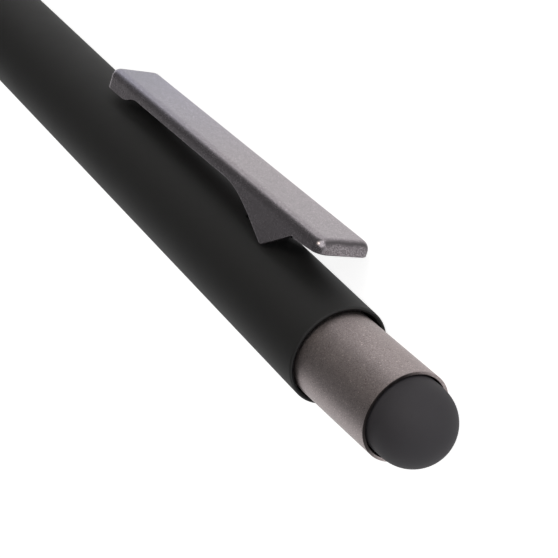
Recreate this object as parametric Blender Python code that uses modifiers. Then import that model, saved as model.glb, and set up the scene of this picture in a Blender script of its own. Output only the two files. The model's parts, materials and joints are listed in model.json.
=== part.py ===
"""A push-button ballpoint pen with a rubber stylus tip on its button.

The pen is modelled upright and then laid on its side by one empty. Upright, z runs along the
pen from the writing end (zero) to the stylus end, x points out through the clip and y runs
across the clip. All lengths are in metres.
"""

import math

import bmesh
import bpy
from mathutils import Matrix, Vector

MM = 0.001

# Whole pen
pen_length = 140.0 * MM
barrel_diameter = 10.0 * MM
nose_length = 14.4 * MM
button_reach = 10.7 * MM
stylus_reach = 4.9 * MM

# Clearances
seat_gap = 0.3 * MM
run_gap = 0.25 * MM
ball_gap = 0.08 * MM
cut_overrun = 2.0 * MM

# Barrel
rear_wall = 0.35 * MM
front_wall = 0.8 * MM
mouth_round = 0.22 * MM
barrel_chamfer = 0.15 * MM

# Nose cone
nose_rim = 0.5 * MM
nose_rim_round = 0.25 * MM
nose_crown = 0.7 * MM
spring_floor = 7.1 * MM
spring_pocket_diameter = 5.5 * MM
spigot_diameter = 6.4 * MM
spigot_length = 8.1 * MM
spigot_chamfer = 0.25 * MM
bush_overlap = 1.5 * MM

# Push button and stylus
lip_wall = 0.25 * MM
lip_round = 0.1 * MM
lip_depth = 4.5 * MM
sleeve_wall = 0.77 * MM
sleeve_engagement = 2.2 * MM
stylus_diameter = 7.84 * MM
stylus_wall = 1.0 * MM
stylus_skirt = 3.1 * MM
core_flange = 0.8 * MM
core_spigot_length = 6.0 * MM
core_spigot_chamfer = 0.6 * MM
core_stem_length = 6.6 * MM
core_socket_depth = 5.8 * MM
lean_reach = 2.0 * MM
lean_out = math.radians(2.0)
lean_across = math.radians(-1.1)

# Click mechanism
thrust_diameter = 5.2 * MM
thrust_bore = 3.2 * MM
crown_diameter = 5.5 * MM
crown_length = 6.0 * MM
lug_height = 0.55 * MM
lug_width = 1.3 * MM
tooth_height = 1.2 * MM
tooth_count = 8
rail_count = 4
rail_width = 1.0 * MM
rail_below_teeth = 4.4 * MM
housing_wall = 0.75 * MM
housing_length = 24.0 * MM
collar_length = 1.2 * MM
rotor_length = 8.4 * MM
rotor_setback = 13.15 * MM
rotor_socket_depth = 3.4 * MM
rotor_neck_diameter = 4.4 * MM
rotor_neck_length = 3.0 * MM
rotor_pin_length = 2.6 * MM

# Refill
point_retreat = 1.5 * MM
refill_diameter = 3.0 * MM
refill_wall = 0.3 * MM
point_length = 12.0 * MM
point_diameter = 2.3 * MM
point_cone_length = 2.6 * MM
point_rim = 0.12 * MM
point_tail_length = 3.0 * MM
ball_diameter = 1.0 * MM
ball_show = 0.25 * MM
ink_channel_diameter = 0.6 * MM
crimp_height = 24.8 * MM
crimp_diameter = 4.2 * MM
crimp_length = 0.8 * MM
ink_share = 0.8
follower_length = 2.6 * MM
plug_head = 0.8 * MM
plug_tail_length = 3.2 * MM

# Return spring
wire_diameter = 0.45 * MM
spring_diameter = 4.6 * MM
spring_turns = 13
closed_turn_gap = 0.46 * MM
points_per_turn = 9

# Clip
clip_length = 43.1 * MM
clip_width = 5.9 * MM
clip_setback = 4.1 * MM
clip_root_height = 4.27 * MM
clip_free_height = 2.64 * MM
clip_sheet = 0.5 * MM
clip_bend = 0.65 * MM
clip_root_corner = 0.75 * MM
clip_free_corner = 1.1 * MM
clip_lip = 1.42 * MM
notch_setback = 4.6 * MM
notch_depth = 1.76 * MM
fin_setback = 8.75 * MM
fin_round = 0.6 * MM
fin_gap = 0.15 * MM
fin_length = 17.3 * MM
arm_depth = 1.4 * MM
toe_depth = 2.21 * MM
toe_length = 3.7 * MM
toe_ramp = 3.3 * MM
toe_round = 0.5 * MM

# Clip bracket, and the slot and the lock that hold it in the barrel
bracket_width = 2.4 * MM
bracket_sheet = 0.6 * MM
neck_length = 2.0 * MM
neck_setback = 1.15 * MM
weld_flange = 2.2 * MM
hook_reach = 1.5 * MM
lock_length = 1.5 * MM
lock_flange = 1.0 * MM
collar_margin = 2.4 * MM

# Facets, and the angle past which an edge stays sharp
large_steps = 48
medium_steps = 32
small_steps = 20
ball_segments = 16
ball_rings = 10
arc_steps = 4
bend_steps = 4
curve_steps = 10
sharp_angle = math.radians(35)
flat_angle = math.radians(0.1)
weld_share = 0.0001

# The fin's rounded foot ends at this angle, and its back leaves it along these shares of its span and drop
foot_end_degrees = 48
fin_leave_shares = (0.22, 0.3)
fin_meet_share = 0.62
tooth_phase_share = 0.01

# Places worked out along and across the pen
weld_distance = barrel_diameter * weld_share
barrel_radius = barrel_diameter / 2
rear_bore = barrel_radius - rear_wall
front_bore = barrel_radius - front_wall
lip_z = pen_length - stylus_reach
mouth_z = lip_z - button_reach
barrel_front_z = nose_length + seat_gap
spigot_top_z = nose_length + spigot_length
sleeve_radius = rear_bore - run_gap
sleeve_bore = sleeve_radius - sleeve_wall
sleeve_bottom_z = mouth_z - sleeve_engagement
lip_bore = sleeve_radius - lip_wall
ledge_z = lip_z - lip_depth
stylus_radius = stylus_diameter / 2
stylus_bore = stylus_radius - stylus_wall
dome_z = pen_length - stylus_radius
core_z = ledge_z + seat_gap
core_stem_z = core_z - core_stem_length
crown_radius = crown_diameter / 2
refill_radius = refill_diameter / 2
refill_bore = refill_radius - refill_wall
point_top_z = point_retreat + point_length
crimp_z = point_retreat + crimp_height
thrust_top_z = core_stem_z + core_socket_depth - seat_gap
clip_slope = math.atan2(clip_root_height - clip_free_height, clip_length)
clip_root_z = mouth_z - clip_setback
clip_face_x = barrel_radius + clip_root_height
pivot_z = clip_root_z - fin_setback
wall_inset = clip_width / 2 - clip_sheet
pivot_x = math.sqrt(barrel_radius**2 - wall_inset**2) + fin_gap
neck_top_z = pivot_z - neck_setback
neck_z = neck_top_z - neck_length
bracket_inside = math.sqrt(rear_bore**2 - (bracket_width / 2) ** 2) - seat_gap
slot_top_z = neck_top_z + seat_gap
lock_z = neck_z - seat_gap - lock_length
slot_z = lock_z - seat_gap
collar_top_z = slot_z - lock_flange - collar_margin
housing_top_z = collar_top_z - collar_length - seat_gap
housing_z = housing_top_z - housing_length
rotor_top_z = housing_top_z - rotor_setback
rotor_z = rotor_top_z - rotor_length
rotor_face_z = rotor_top_z - tooth_height
thrust_z = rotor_top_z + seat_gap
refill_top_z = rotor_z + rotor_socket_depth - seat_gap
plug_head_z = refill_top_z - plug_head
plug_tail_z = plug_head_z - plug_tail_length
ink_z = point_top_z + point_tail_length + seat_gap
ink_top_z = ink_z + ink_share * (plug_tail_z - ink_z)
follower_z = ink_top_z + seat_gap


def clear_scene():
    for thing in list(bpy.data.objects):
        bpy.data.objects.remove(thing)


def new_collection(name):
    group = bpy.data.collections.new(name)
    bpy.context.scene.collection.children.link(group)
    return group


def finish(name, colour, roughness, metallic=0.0):
    """A Principled material of one plain finish."""
    material = bpy.data.materials.new(name)
    material.use_nodes = True
    shader = material.node_tree.nodes["Principled BSDF"]
    shader.inputs["Base Color"].default_value = (*colour, 1.0)
    shader.inputs["Roughness"].default_value = roughness
    shader.inputs["Metallic"].default_value = metallic
    return material


def add_object(name, mesh, parent, group):
    """Link a mesh as a named object under an empty, whose place it shares."""
    part = bpy.data.objects.new(name, mesh)
    part.parent = parent
    group.objects.link(part)
    return part


def dress(part, material):
    """Give a part its one material and smooth shading between its sharp edges."""
    part.data.materials.clear()
    part.data.materials.append(material)
    part.data.shade_smooth()
    part.data.set_sharp_from_angle(angle=sharp_angle)


def bake(part):
    """Apply a part's modifiers to its mesh."""
    view = bpy.context.evaluated_depsgraph_get()
    mesh = bpy.data.meshes.new_from_object(part.evaluated_get(view))
    mesh.name = part.name
    part.modifiers.clear()
    part.data = mesh


def arc(centre_r, centre_z, radius, start, end, steps=arc_steps):
    """Points of a round edge in the profile plane, angles in degrees from +r towards +z."""
    turn = [math.radians(start + (end - start) * i / steps) for i in range(steps + 1)]
    return [(centre_r + radius * math.cos(a), centre_z + radius * math.sin(a)) for a in turn]


def turned(name, profile, steps, parent, group):
    """A turned piece: the profile runs down the outside and, on a ring, up the inside."""
    mesh = bpy.data.meshes.new(name)
    edges = [(i, i + 1) for i in range(len(profile) - 1)]
    if min(r for r, z in profile) > 0:
        edges.append((len(profile) - 1, 0))
    mesh.from_pydata([(r, 0, z) for r, z in profile], edges, [])
    part = add_object(name, mesh, parent, group)
    screw = part.modifiers.new("Turn", "SCREW")
    screw.axis = "Z"
    screw.angle = math.tau
    screw.steps = steps
    screw.render_steps = steps
    screw.use_merge_vertices = True
    screw.merge_threshold = weld_distance
    screw.use_smooth_shade = True
    bake(part)
    return part


def mesh_from_curve(curve, name):
    """The closed mesh of a filled curve, with its loose caps welded on."""
    carrier = bpy.data.objects.new(name, curve)
    bpy.context.scene.collection.objects.link(carrier)
    view = bpy.context.evaluated_depsgraph_get()
    mesh = bpy.data.meshes.new_from_object(carrier.evaluated_get(view))
    bpy.data.objects.remove(carrier)
    form = bmesh.new()
    form.from_mesh(mesh)
    bmesh.ops.remove_doubles(form, verts=form.verts, dist=weld_distance)
    bmesh.ops.dissolve_limit(form, angle_limit=flat_angle, verts=form.verts, edges=form.edges)
    bmesh.ops.recalc_face_normals(form, faces=form.faces)
    form.to_mesh(mesh)
    form.free()
    return mesh


def plate(name, outline, thickness):
    """A flat outline in x and z given thickness across y."""
    curve = bpy.data.curves.new(name, "CURVE")
    curve.dimensions = "2D"
    curve.fill_mode = "BOTH"
    curve.extrude = thickness / 2
    line = curve.splines.new("POLY")
    line.points.add(len(outline) - 1)
    for point, (x, z) in zip(line.points, outline):
        point.co = (x, z, 0, 1)
    line.use_cyclic_u = True
    mesh = mesh_from_curve(curve, name)
    mesh.transform(Matrix.Rotation(math.pi / 2, 4, "X"))
    return mesh


def box_mesh(name, low, high):
    """A box between two corners, from a unit cube."""
    form = bmesh.new()
    bmesh.ops.create_cube(form, size=1.0)
    bmesh.ops.scale(form, vec=[b - a for a, b in zip(low, high)], verts=form.verts)
    bmesh.ops.translate(form, vec=[(a + b) / 2 for a, b in zip(low, high)], verts=form.verts)
    mesh = bpy.data.meshes.new(name)
    form.to_mesh(mesh)
    form.free()
    return mesh


def combine(part, tool_mesh, operation, cutters, turn=0.0):
    """Join a mesh to a part, or cut it away, in the part's own place and turned about its z."""
    tool = add_object(tool_mesh.name + "_tool", tool_mesh, part.parent, cutters)
    tool.location = part.location
    tool.rotation_euler = part.rotation_euler
    tool.rotation_euler.z += turn
    tool.hide_render = True
    tool.display_type = "WIRE"
    step = part.modifiers.new("Combine", "BOOLEAN")
    step.operation = operation
    step.solver = "EXACT"
    step.object = tool
    bpy.context.view_layer.update()
    bake(part)


def join_bars(part, inner, outer, width, low, high, first_turn, cutters):
    """Join evenly spaced radial bars to a turned piece."""
    for i in range(rail_count):
        bar = box_mesh("bar", (inner, -width / 2, low), (outer, width / 2, high))
        combine(part, bar, "UNION", cutters, first_turn + math.tau * i / rail_count)


def cut_teeth(part, face_z, way, inner):
    """Turn the part of a level end face outside a radius into saw teeth.

    Each tooth climbs evenly with the angle and drops back at the next tooth. The phase keeps a
    vertex at a tooth's foot from being read as the last tooth's crest.
    """
    pitch = math.tau / tooth_count
    for point in part.data.vertices:
        reach = math.hypot(point.co.x, point.co.y)
        if abs(point.co.z - face_z) < weld_distance and reach > inner:
            share = math.atan2(point.co.y, point.co.x) % pitch / pitch
            rise = (share + tooth_phase_share) % 1.0
            point.co.z += way * rise * tooth_height


def barrel(root, parts, cutters, material):
    """The coated barrel: one tube with a wide rear bore, a narrow front bore and the clip's slot."""
    step_z = housing_z - seat_gap
    inner_round = mouth_round / 2
    profile = arc(rear_bore + inner_round, mouth_z - inner_round, inner_round, 180, 90)
    profile += arc(barrel_radius - mouth_round, mouth_z - mouth_round, mouth_round, 90, 0)
    profile += [(barrel_radius, barrel_front_z + barrel_chamfer)]
    profile += [(barrel_radius - barrel_chamfer, barrel_front_z), (front_bore, barrel_front_z)]
    profile += [(front_bore, step_z), (rear_bore, step_z)]
    part = turned("barrel", profile, large_steps, root, parts)
    half = bracket_width / 2 + seat_gap
    low = (front_bore - cut_overrun, -half, slot_z)
    high = (barrel_radius + cut_overrun, half, slot_top_z)
    combine(part, box_mesh("clip_slot", low, high), "DIFFERENCE", cutters)
    dress(part, material)


def nose_cone(pivot, parts, material):
    """The metal nose: an arched cone, a spring pocket inside and the screwed spigot as a plain one."""
    hole = point_diameter / 2 + seat_gap
    tip = hole + nose_rim
    spigot = spigot_diameter / 2
    pocket = spring_pocket_diameter / 2
    steps = 2 * arc_steps
    profile = [(spigot - spigot_chamfer, spigot_top_z), (spigot, spigot_top_z - spigot_chamfer)]
    profile += [(spigot, nose_length)]
    for i in range(steps + 1):
        share = i / steps
        arch = nose_crown * 4 * share * (1 - share)
        r = barrel_radius + (tip - barrel_radius) * share + arch
        profile.append((r, nose_length + (nose_rim_round - nose_length) * share))
    profile += arc(tip - nose_rim_round, nose_rim_round, nose_rim_round, 0, -90)[1:]
    profile += [(hole, 0), (hole, spring_floor), (pocket, spring_floor), (pocket, spigot_top_z)]
    dress(turned("nose_cone", profile, large_steps, pivot, parts), material)


def thread_bush(root, parts, material):
    """The bush in the barrel's front end, which the nose cone screws into."""
    outer = front_bore - seat_gap
    inner = spigot_diameter / 2 + seat_gap
    low = barrel_front_z + seat_gap
    high = spigot_top_z + bush_overlap
    profile = [(outer, high), (outer, low), (inner, low), (inner, high)]
    dress(turned("thread_bush", profile, medium_steps, root, parts), material)


def button_sleeve(pivot, parts, material):
    """The push button's metal sleeve, with a thin lip round the rubber tip and a ledge below it."""
    edge = lip_round
    profile = [(lip_bore, lip_z)] + arc(sleeve_radius - edge, lip_z - edge, edge, 90, 0)
    profile += [(sleeve_radius, sleeve_bottom_z + edge), (sleeve_radius - edge, sleeve_bottom_z)]
    profile += [(sleeve_bore, sleeve_bottom_z), (sleeve_bore, ledge_z), (lip_bore, ledge_z)]
    dress(turned("button_sleeve", profile, large_steps, pivot, parts), material)


def stylus_tip(pivot, parts, material):
    """The rubber tip: a hollow dome on a short skirt, open below."""
    low = lip_z - stylus_skirt
    outside = arc(0, dome_z, stylus_radius, 90, 0, 3 * arc_steps)[1:]
    inside = arc(0, dome_z, stylus_bore, 0, 90, 2 * arc_steps)[:-1]
    profile = [(0, pen_length)] + outside + [(stylus_radius, low), (stylus_bore, low)]
    profile += inside + [(0, dome_z + stylus_bore)]
    dress(turned("stylus_tip", profile, large_steps, pivot, parts), material)


def stylus_core(pivot, parts, material):
    """The plug in the button: a spigot for the rubber tip, a flange and a socket for the thrust tube."""
    spigot = stylus_bore - seat_gap
    flange = lip_bore - seat_gap
    flange_z = core_z + core_flange
    top_z = flange_z + core_spigot_length
    stem = sleeve_bore - seat_gap
    socket = thrust_diameter / 2 + seat_gap
    socket_z = core_stem_z + core_socket_depth
    profile = [(0, top_z), (spigot - core_spigot_chamfer, top_z), (spigot, top_z - core_spigot_chamfer)]
    profile += [(spigot, flange_z), (flange, flange_z), (flange, core_z), (stem, core_z)]
    profile += [(stem, core_stem_z), (socket, core_stem_z), (socket, socket_z), (0, socket_z)]
    dress(turned("stylus_core", profile, medium_steps, pivot, parts), material)


def thrust_tube(pivot, parts, cutters, material):
    """The tube that carries the push down to the rotor, with a toothed crown and guide lugs."""
    outer = thrust_diameter / 2
    bore = thrust_bore / 2
    crown_top = thrust_z + crown_length
    face = thrust_z + tooth_height
    profile = [(outer, thrust_top_z), (outer, crown_top), (crown_radius, crown_top)]
    profile += [(crown_radius, face), (bore, face), (bore, thrust_top_z)]
    part = turned("thrust_tube", profile, medium_steps, pivot, parts)
    cut_teeth(part, face, -1, 0)
    middle = (bore + crown_radius) / 2
    join_bars(part, middle, crown_radius + lug_height, lug_width, face + seat_gap, crown_top, 0.0, cutters)
    dress(part, material)


def rotor(pivot, parts, cutters, material):
    """The rotor under the thrust tube: teeth on top, ribs round it and a socket for the refill."""
    neck = rotor_neck_diameter / 2
    neck_top = rotor_z + rotor_neck_length
    pin = thrust_bore / 2 - seat_gap
    pin_top = rotor_top_z + rotor_pin_length
    socket = refill_radius + seat_gap
    socket_top = rotor_z + rotor_socket_depth
    face = rotor_face_z
    profile = [(0, pin_top), (pin, pin_top), (pin, face), (crown_radius, face), (crown_radius, neck_top)]
    profile += [(neck, neck_top), (neck, rotor_z), (socket, rotor_z), (socket, socket_top), (0, socket_top)]
    part = turned("rotor", profile, medium_steps, pivot, parts)
    cut_teeth(part, face, 1, (pin + crown_radius) / 2)
    middle = (pin + crown_radius) / 2
    rib = crown_radius + lug_height
    join_bars(part, middle, rib, rail_width, neck_top, face - seat_gap, 0.0, cutters)
    dress(part, material)


def cam_housing(root, parts, cutters, material):
    """The guide tube of the click mechanism, with rails between the lugs and the rotor's ribs."""
    outer = rear_bore - seat_gap
    inner = outer - housing_wall
    profile = [(outer, housing_top_z), (outer, housing_z), (inner, housing_z), (inner, housing_top_z)]
    part = turned("cam_housing", profile, medium_steps, root, parts)
    reach = crown_radius + seat_gap
    low = rotor_face_z - rail_below_teeth
    half_turn = math.pi / rail_count
    join_bars(part, reach, (inner + outer) / 2, rail_width, low, housing_top_z, half_turn, cutters)
    dress(part, material)


def housing_collar(root, parts, material):
    """The ring nut above the housing, which holds it in the barrel and guides the thrust tube."""
    outer = rear_bore - seat_gap
    inner = thrust_diameter / 2 + seat_gap
    low = collar_top_z - collar_length
    profile = [(outer, collar_top_z), (outer, low), (inner, low), (inner, collar_top_z)]
    dress(turned("housing_collar", profile, medium_steps, root, parts), material)


def refill_tube(pivot, parts, material):
    """The refill's metal tube, with the crimped collar that the return spring pushes on."""
    crimp = crimp_diameter / 2
    crimp_top = crimp_z + crimp_length
    low = point_top_z + seat_gap
    high = plug_head_z - seat_gap
    profile = [(refill_radius, high), (refill_radius, crimp_top), (crimp, crimp_top), (crimp, crimp_z)]
    profile += [(refill_radius, crimp_z), (refill_radius, low), (refill_bore, low), (refill_bore, high)]
    dress(turned("refill_tube", profile, small_steps, pivot, parts), material)


def refill_point(pivot, parts, material):
    """The writing point: a cone with the ball's socket, a shank and a tail inside the tube."""
    shank = point_diameter / 2
    tail = refill_bore - seat_gap
    tail_z = point_top_z + point_tail_length
    ball = ball_diameter / 2
    ball_z = point_retreat + ball
    rim_z = point_retreat + ball_show
    rim = math.sqrt(ball**2 - (ball - ball_show) ** 2) + ball_gap
    socket = ball + ball_gap
    channel = ink_channel_diameter / 2
    profile = [(tail, tail_z), (tail, point_top_z), (shank, point_top_z)]
    profile += [(shank, rim_z + point_cone_length), (socket + point_rim, ball_z), (rim + point_rim, rim_z)]
    profile += [(rim, rim_z), (socket, ball_z), (socket, ball_z + socket), (channel, ball_z + socket)]
    profile += [(channel, tail_z)]
    dress(turned("refill_point", profile, small_steps, pivot, parts), material)


def writing_ball(pivot, parts, material):
    """The ball in the point, modelled round its own centre."""
    form = bmesh.new()
    bmesh.ops.create_uvsphere(form, u_segments=ball_segments, v_segments=ball_rings, radius=ball_diameter / 2)
    mesh = bpy.data.meshes.new("writing_ball")
    form.to_mesh(mesh)
    form.free()
    dress(add_object("writing_ball", mesh, pivot, parts), material)


def refill_slug(name, low, high, pivot, parts, material):
    """A solid cylinder that fills the refill's bore between two heights."""
    radius = refill_bore - seat_gap
    profile = [(0, high), (radius, high), (radius, low), (0, low)]
    dress(turned(name, profile, small_steps, pivot, parts), material)


def refill_plug(pivot, parts, material):
    """The end plug of the refill, with its head outside the tube and its tail inside."""
    tail = refill_bore - seat_gap
    profile = [(0, refill_top_z), (refill_radius, refill_top_z), (refill_radius, plug_head_z)]
    profile += [(tail, plug_head_z), (tail, plug_tail_z), (0, plug_tail_z)]
    dress(turned("refill_plug", profile, small_steps, pivot, parts), material)


def return_spring(pivot, parts, material):
    """The return spring: one helical wire from the nose's spring floor to the refill's collar.

    Its first and last turns lie close, and the turns between share the rest of the height.
    """
    low = spring_floor + seat_gap + wire_diameter / 2
    high = crimp_z - seat_gap - wire_diameter / 2
    radius = (spring_diameter - wire_diameter) / 2
    close = wire_diameter + closed_turn_gap
    open_pitch = (high - low - 2 * close) / (spring_turns - 2)
    curve = bpy.data.curves.new("return_spring", "CURVE")
    curve.dimensions = "3D"
    curve.bevel_depth = wire_diameter / 2
    curve.bevel_resolution = 1
    curve.use_fill_caps = True
    line = curve.splines.new("POLY")
    line.points.add(spring_turns * points_per_turn)
    for i, point in enumerate(line.points):
        turns = i / points_per_turn
        ends = min(turns, 1) + max(turns - spring_turns + 1, 0)
        z = low + close * ends + open_pitch * (turns - ends)
        angle = math.tau * turns
        point.co = (radius * math.cos(angle), radius * math.sin(angle), z, 1)
    centres = [Vector(point.co[:3]) for point in line.points]
    gap = least_distance(centres, points_per_turn // 2) - wire_diameter
    print(f"return_spring: least gap between turns {gap / MM:.2f} mm")
    part = add_object("return_spring", mesh_from_curve(curve, "return_spring"), pivot, parts)
    dress(part, material)


def least_distance(points, skip):
    """The least distance between a coil's points that are more than a few steps apart."""
    return min((a - b).length for i, a in enumerate(points) for b in points[i + skip + 1 :])


def bezier(start, first, second, end, steps):
    """Points of a cubic curve between two points, without its start."""
    found = []
    for i in range(1, steps + 1):
        t = i / steps
        weights = ((1 - t) ** 3, 3 * t * (1 - t) ** 2, 3 * t * t * (1 - t), t**3)
        corners = (start, first, second, end)
        found.append(tuple(sum(w * p[k] for w, p in zip(weights, corners)) for k in (0, 1)))
    return found


def clip_lower_edge():
    """The side walls' lower edge, as (distance from the root end, depth under the outer face).

    From the root end it runs along the lip to a notch, down the fin to its rounded foot, up a
    double curve to the shallow arm and down again to the toe at the free end.
    """
    foot = (clip_face_x - pivot_x - fin_setback * math.tan(clip_slope)) * math.cos(clip_slope)
    centre = (fin_setback, foot - fin_round)
    rise = math.degrees(math.atan2(centre[1] - notch_depth, centre[0] - notch_setback))
    line = [(0, clip_lip), (notch_setback, notch_depth)]
    line += arc(centre[0], centre[1], fin_round, 90 + rise, foot_end_degrees, 2 * arc_steps)
    leave = line[-1]
    span = fin_length - leave[0]
    drop = leave[1] - arm_depth
    first = (leave[0] + fin_leave_shares[0] * span, leave[1] - fin_leave_shares[1] * drop)
    second = (leave[0] + fin_meet_share * span, arm_depth)
    line += bezier(leave, first, second, (fin_length, arm_depth), curve_steps)
    ramp_end = clip_length - toe_length
    ramp_start = ramp_end - toe_ramp
    middle = (ramp_start + ramp_end) / 2
    ramp = [(ramp_start, arm_depth), (middle, arm_depth), (middle, toe_depth), (ramp_end, toe_depth)]
    line.append(ramp[0])
    line += bezier(*ramp, curve_steps // 2)
    line += arc(clip_length - toe_round, toe_depth - toe_round, toe_round, 90, 0)
    return line


def round_edges(mesh, picked, radius):
    """Round the edges of a mesh that a test picks."""
    form = bmesh.new()
    form.from_mesh(mesh)
    edges = [edge for edge in form.edges if picked(*(v.co for v in edge.verts))]
    bmesh.ops.bevel(form, geom=edges, offset=radius, segments=bend_steps, affect="EDGES", profile=0.5)
    form.to_mesh(mesh)
    form.free()


def clip(pivot, parts, cutters, material):
    """The clip: one pressed sheet, a flat outer plate with walls turned down all round.

    Its own x is out of the plate and its own z runs up to the root end, both zero at the middle
    of the root end's outer edge.
    """
    side = clip_width / 2
    near = clip_sheet / 4
    outline = [(-depth, -along) for along, depth in clip_lower_edge()]
    mesh = plate("clip", outline + [(0, -clip_length), (0, 0)], clip_width)

    def at_corner(end):
        return lambda a, b: (
            all(abs(p.z - end) < near and abs(abs(p.y) - side) < near for p in (a, b))
            and abs(a.y - b.y) < near
            and abs(a.x - b.x) > near
        )

    round_edges(mesh, at_corner(0), clip_root_corner)
    round_edges(mesh, at_corner(-clip_length), clip_free_corner)
    round_edges(mesh, lambda a, b: max(abs(a.x), abs(b.x)) < near, clip_bend)
    part = add_object("clip", mesh, pivot, parts)
    part.location = (clip_face_x - pivot_x, 0, fin_setback)
    part.rotation_euler.y = clip_slope
    inner = clip_root_corner - clip_sheet
    low = (-clip_length, -side + clip_sheet, -clip_length + clip_sheet)
    high = (-clip_sheet, side - clip_sheet, -clip_sheet)
    hollow = box_mesh("clip_hollow", low, high)
    round_edges(hollow, lambda a, b: abs(a.x - b.x) > inner, inner)
    combine(part, hollow, "DIFFERENCE", cutters)
    dress(part, material)


def under_plate(z):
    """How far out the plate's inner face lies at a height, less the gap that seats the bracket."""
    face = clip_face_x - (clip_root_z - z) * math.tan(clip_slope)
    return face - clip_sheet / math.cos(clip_slope) - seat_gap


def clip_bracket(pivot, parts, material):
    """The bracket under the plate: a flange, a neck through the slot and a hook inside."""
    high = neck_top_z + weld_flange
    low = neck_z - weld_flange
    hook_z = neck_top_z + hook_reach
    inner = bracket_inside - bracket_sheet
    above = under_plate(neck_top_z) - bracket_sheet
    outline = [(under_plate(high), high), (under_plate(low), low)]
    outline += [(under_plate(low) - bracket_sheet, low), (under_plate(neck_z) - bracket_sheet, neck_z)]
    outline += [(inner, neck_z), (inner, hook_z), (bracket_inside, hook_z), (bracket_inside, neck_top_z)]
    outline += [(above, neck_top_z), (under_plate(high) - bracket_sheet, high)]
    mesh = plate("clip_bracket", [(x - pivot_x, z - pivot_z) for x, z in outline], bracket_width)
    dress(add_object("clip_bracket", mesh, pivot, parts), material)


def clip_lock(root, parts, material):
    """The plug that fills the slot below the neck, so that the hook can't slide out."""
    top = math.sqrt(barrel_radius**2 - (bracket_width / 2) ** 2)
    high = lock_z + lock_length
    low = slot_z - lock_flange
    inner = bracket_inside - bracket_sheet
    outline = [(top, high), (top, lock_z), (bracket_inside, lock_z), (bracket_inside, low)]
    outline += [(inner, low), (inner, high)]
    dress(add_object("clip_lock", plate("clip_lock", outline, bracket_width), root, parts), material)


def lay_down():
    """The matrix that lays the upright pen on its side, on the barrel and the clip's corner.

    Seen along the pen, the surface it lies on touches the barrel's circle and the round bend of
    the clip. That fixes how far the clip is turned from straight down, and the pen's outline is
    then centred on the origin.
    """
    bend_x = clip_face_x - math.tan(clip_slope) * clip_root_corner - clip_bend
    bend_y = clip_width / 2 - clip_bend
    reach = math.hypot(bend_x, bend_y)
    turn = math.atan2(bend_y, bend_x) + math.acos((barrel_radius - clip_bend) / reach)
    side = bend_x * math.sin(turn) + bend_y * math.cos(turn) + clip_bend
    x_axis = Vector((0, math.sin(turn), -math.cos(turn)))
    z_axis = Vector((1, 0, 0))
    place = Matrix((x_axis, z_axis.cross(x_axis), z_axis)).transposed().to_4x4()
    place.translation = Vector((-pen_length / 2, (barrel_radius - side) / 2, barrel_radius))
    return place


def lean_matrix():
    """How the play in the barrel lets the button lean, about a point just outside the mouth."""
    point = Vector((0, 0, mouth_z + lean_reach))
    axis = Vector((-math.sin(lean_across), math.sin(lean_out), 0))
    turn = Matrix.Rotation(math.asin(axis.length), 4, axis.normalized())
    return Matrix.Translation(point) @ turn @ Matrix.Translation(-point)


def add_empty(name, parent, location, group):
    empty = bpy.data.objects.new(name, None)
    empty.parent = parent
    empty.location = location
    group.objects.link(empty)
    return empty


def main():
    clear_scene()
    parts = new_collection("stylus_pen")
    cutters = new_collection("cutters")
    black = finish("soft_touch_black", (0.022, 0.022, 0.023), 0.55)
    gunmetal = finish("gunmetal", (0.21, 0.19, 0.19), 0.38, 1.0)
    rubber = finish("stylus_rubber", (0.055, 0.055, 0.06), 0.75)
    white = finish("white_plastic", (0.75, 0.75, 0.72), 0.45)
    dark = finish("dark_plastic", (0.03, 0.03, 0.03), 0.5)
    brass = finish("brass", (0.72, 0.55, 0.25), 0.3, 1.0)
    steel = finish("steel", (0.6, 0.6, 0.62), 0.3, 1.0)
    ink = finish("ink", (0.01, 0.015, 0.08), 0.3)
    grease = finish("follower_grease", (0.7, 0.65, 0.45), 0.4)

    root = add_empty("pen_frame", None, (0, 0, 0), parts)
    root.matrix_world = lay_down()
    push = add_empty("push_axis", root, (0, 0, 0), parts)
    button = add_empty("button_lean", push, (0, 0, 0), parts)
    button.matrix_basis = lean_matrix()
    refill = add_empty("refill_axis", root, (0, 0, 0), parts)
    turning = add_empty("rotor_axis", refill, (0, 0, 0), parts)
    rolling = add_empty("ball_centre", refill, (0, 0, point_retreat + ball_diameter / 2), parts)
    nose = add_empty("nose_axis", root, (0, 0, 0), parts)
    hinge = add_empty("clip_pivot", root, (pivot_x, 0, pivot_z), parts)
    bpy.context.view_layer.update()

    barrel(root, parts, cutters, black)
    thread_bush(root, parts, brass)
    cam_housing(root, parts, cutters, dark)
    housing_collar(root, parts, brass)
    clip_lock(root, parts, dark)
    clip(hinge, parts, cutters, gunmetal)
    clip_bracket(hinge, parts, steel)
    button_sleeve(button, parts, gunmetal)
    stylus_tip(button, parts, rubber)
    stylus_core(button, parts, dark)
    thrust_tube(push, parts, cutters, white)
    rotor(turning, parts, cutters, white)
    refill_tube(refill, parts, steel)
    refill_point(refill, parts, brass)
    refill_slug("ink_column", ink_z, ink_top_z, refill, parts, ink)
    refill_slug("ink_follower", follower_z, follower_z + follower_length, refill, parts, grease)
    refill_plug(refill, parts, white)
    writing_ball(rolling, parts, steel)
    return_spring(nose, parts, steel)
    nose_cone(nose, parts, gunmetal)


main()
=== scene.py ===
"""The looks of a push-button ballpoint pen with a soft rubber tip on its button.

The pen's own directions are along (towards the rubber tip), out (towards the clip's plate) and
across. Each shape is worked out in them, as a surface over a grid of two parameters, and then
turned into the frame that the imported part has. All lengths are in metres.
"""

import json
import math

import bmesh
import bpy
import numpy as np
from mathutils import Matrix, Vector

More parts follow.
